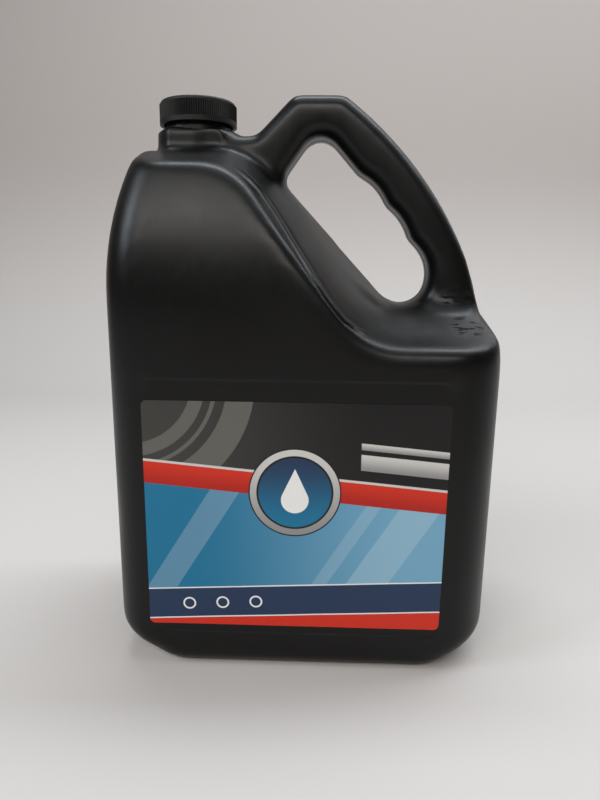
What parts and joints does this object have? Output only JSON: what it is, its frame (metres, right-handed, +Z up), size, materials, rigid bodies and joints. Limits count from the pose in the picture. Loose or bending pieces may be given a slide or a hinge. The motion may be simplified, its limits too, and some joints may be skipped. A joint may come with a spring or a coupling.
{
  "type": "motor oil bottle",
  "caption": "Black blow-moulded plastic jug with an offset screw-capped neck, a through handle with finger scallops, a scooped shoulder and a blue front label.",
  "frame": {"origin": "middle of the footprint on the surface the bottle stands on", "axes": "+X along the wide face towards the handle's foot, with the neck on the -X side; -Y out of the labelled front; +Z up"},
  "size_m": [0.206, 0.124, 0.306],
  "materials": {
    "bottle_plastic": "satin black polyethylene with faint flow streaks and light scuffs",
    "cap_plastic": "satin black moulded plastic",
    "liner_foam": "pale closed-cell foam",
    "label_film": "glossy printed film"
  },
  "bodies": {
    "jug": {"bottle": "bottle_plastic", "label": "label_film"},
    "seal": {"cap_liner": "liner_foam"},
    "cap": {"cap": "cap_plastic"}
  },
  "joints": [
    {"name": "cap_lift", "type": "slide", "parent": "jug", "child": "seal", "axis": [0, 0, 1], "range_m": [0, 0.0127]},
    {"name": "cap_turn", "type": "hinge", "parent": "seal", "child": "cap", "pos_m": [-0.061, 0, 0.297], "axis": [0, 0, 1], "range_deg": [0, 1080]}
  ],
  "couplings": [
    {"joint": "cap_lift", "follows": "cap_turn", "m_per_rad": 0.00067322}
  ]
}
